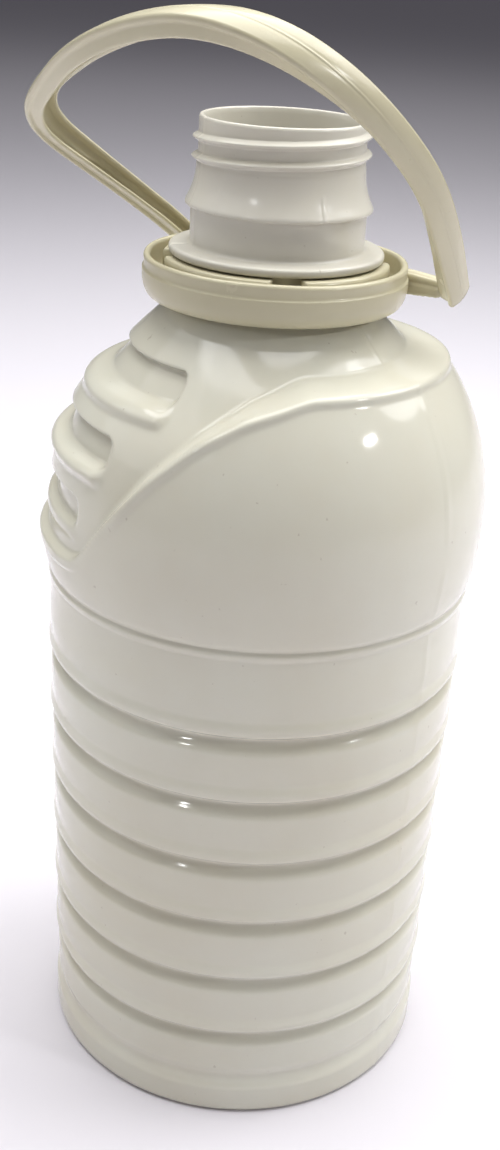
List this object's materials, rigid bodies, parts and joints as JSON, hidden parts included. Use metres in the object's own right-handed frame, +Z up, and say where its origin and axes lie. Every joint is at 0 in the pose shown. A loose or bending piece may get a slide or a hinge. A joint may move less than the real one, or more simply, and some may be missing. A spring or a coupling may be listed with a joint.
{
  "type": "calf feeding bottle",
  "caption": "Ribbed plastic feeding bottle with a threaded open neck, finger recesses, and a clip-on neck ring with a swinging carrying strap.",
  "frame": {"origin": "centre of the standing ring, on the neck's axis and on the plane the bottle stands on", "axes": "+Z up along the neck's axis, finger recesses on the -X side"},
  "size_m": [0.1508, 0.1505, 0.3599],
  "materials": {
    "body_plastic": "glossy, warm white",
    "neck_plastic": "satin, greyish white",
    "handle_plastic": "satin, ivory"
  },
  "bodies": {
    "bottle": {"bottle_body": "body_plastic", "neck_finish": "neck_plastic"},
    "ring": {"handle_ring": "handle_plastic", "snap_segments": "handle_plastic"},
    "strap": {"carry_strap": "handle_plastic"}
  },
  "joints": [
    {"name": "ring_turn", "type": "hinge", "parent": "bottle", "child": "ring", "pos_m": [0, 0, 0.277], "axis": [0, 0, 1], "continuous": true},
    {"name": "strap_swing", "type": "hinge", "parent": "ring", "child": "strap", "pos_m": [0.01272, 0.02035, 0.277], "axis": [0.848, -0.5299, 0], "range_deg": [-180, 50]}
  ]
}
